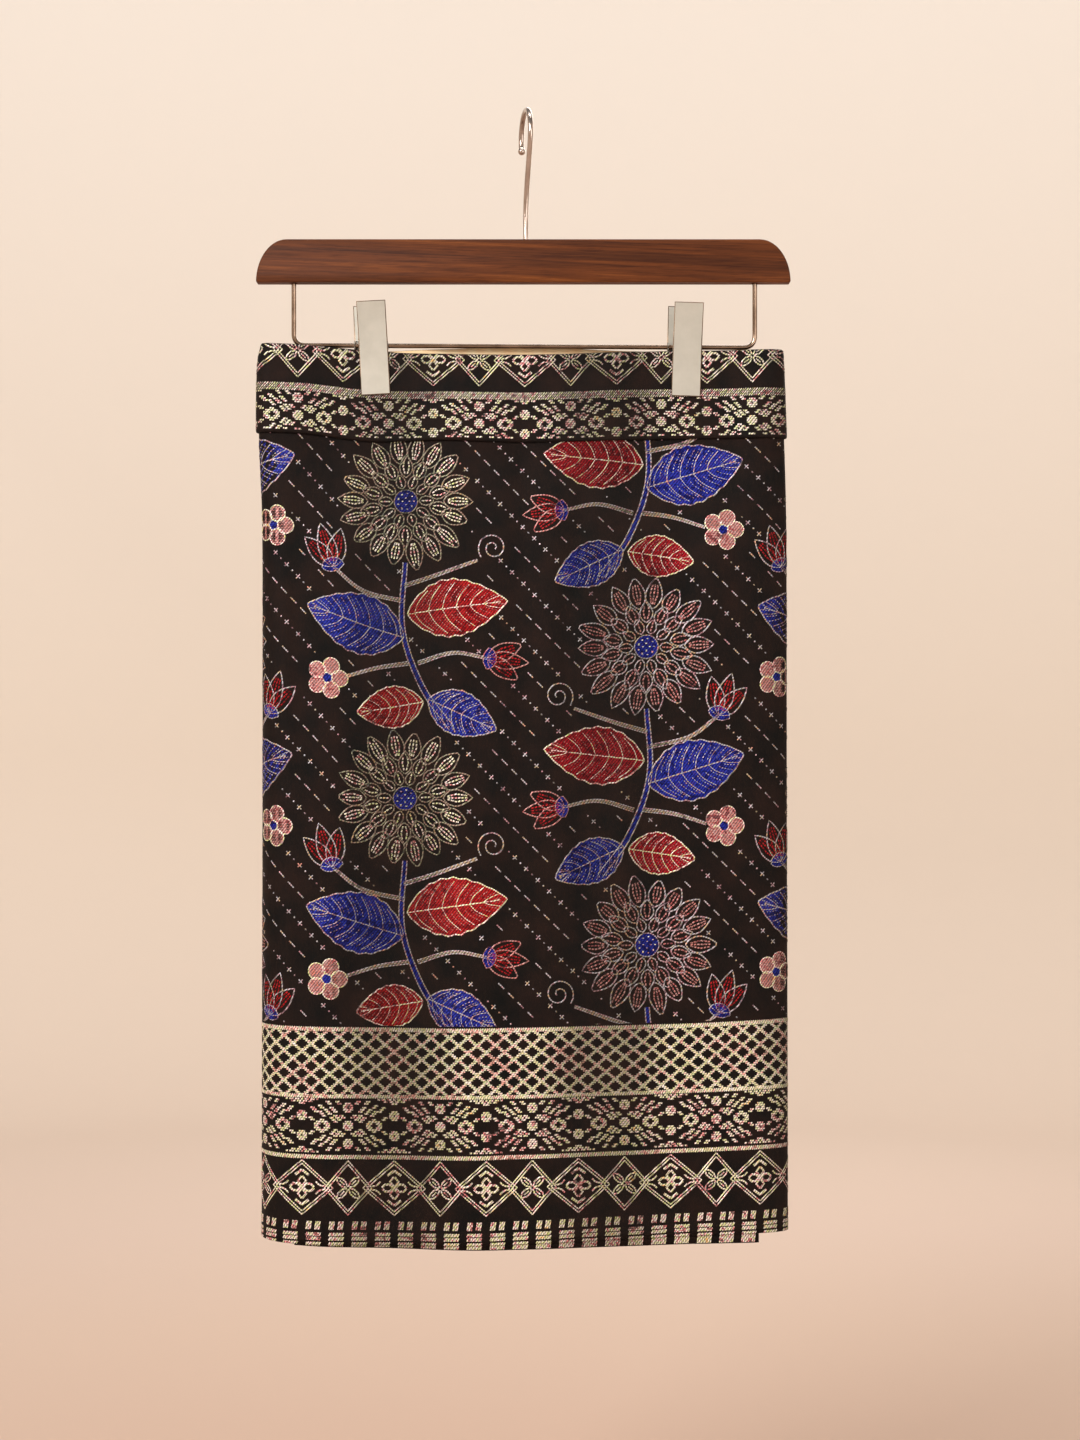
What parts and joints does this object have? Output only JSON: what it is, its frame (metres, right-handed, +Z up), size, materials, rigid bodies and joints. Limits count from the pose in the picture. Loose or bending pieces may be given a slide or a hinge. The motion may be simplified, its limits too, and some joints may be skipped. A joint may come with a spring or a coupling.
{
  "type": "pre-tied samping on a wooden clip hanger",
  "caption": "Knee-length tube of patterned brocade cloth with a turned-down waist tuck, hung flat from a wooden trouser hanger by two metal clips.",
  "frame": {"origin": "inside of the hook's top, at the point where a rail carries it", "axes": "+Z up, the garment's front faces -Y, +X is to the right of someone who looks at the front"},
  "size_m": [0.4167, 0.0525, 0.8851],
  "materials": {
    "brocade": "near-black woven cloth with metallic silver and pink weft bands and red and blue flowers",
    "facing": "plain tan woven cloth",
    "wood": "satin-varnished walnut brown",
    "steel": "bright plated wire, warm tint",
    "clip_plate": "satin plate with thin bright bevels"
  },
  "bodies": {
    "root": {"hook": "steel", "wood_bar": "wood", "clip_bar": "steel", "clip_left_front": "clip_plate", "clip_left_rear": "clip_plate", "clip_left_spring": "steel", "clip_right_front": "clip_plate", "clip_right_rear": "clip_plate", "clip_right_spring": "steel", "cloth_front": "brocade", "cloth_back": "brocade", "cloth_overlap": "brocade", "cloth_overlap_hem": "brocade", "waistband_front": "brocade", "waistband_back": "brocade", "waist_facing": "facing"}
  },
  "joints": []
}
